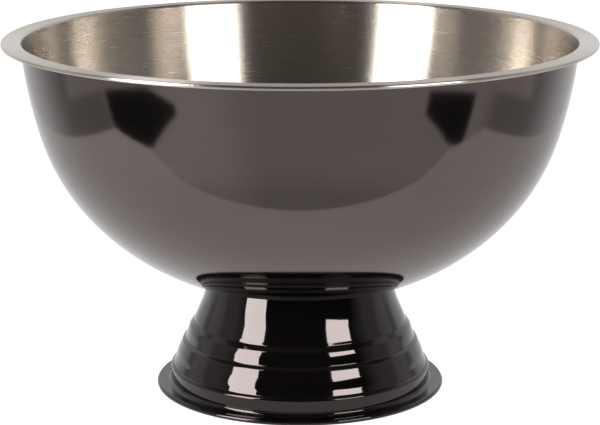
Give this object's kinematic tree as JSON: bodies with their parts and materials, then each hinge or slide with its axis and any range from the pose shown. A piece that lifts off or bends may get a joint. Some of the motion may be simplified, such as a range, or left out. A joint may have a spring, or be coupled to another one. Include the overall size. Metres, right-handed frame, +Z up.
{
  "type": "punch bowl",
  "caption": "Wide round footed bowl with a flat rolled rim, gunmetal outside and brushed inside, on a black stepped conical foot.",
  "frame": {"origin": "on the table, on the bowl's axis, under the centre of the foot", "axes": "+Z up along the axis of the bowl and the foot; X and Y are level and interchangeable"},
  "size_m": [0.4, 0.3998, 0.242],
  "materials": {
    "bowl_steel": "gunmetal mirror outside, bare brushed steel inside and on the rim",
    "bare_steel": "bare rolled sheet",
    "zinc_steel": "bright zinc plate",
    "rubber": "matt",
    "black_enamel": "gloss black enamel"
  },
  "bodies": {
    "root": {"bowl": "bowl_steel", "reinforcing_disc": "bare_steel", "threaded_stud": "zinc_steel", "seat_gasket": "rubber", "foot": "black_enamel", "plate_washer": "zinc_steel", "spring_washer": "zinc_steel", "hex_nut": "zinc_steel"}
  },
  "joints": []
}
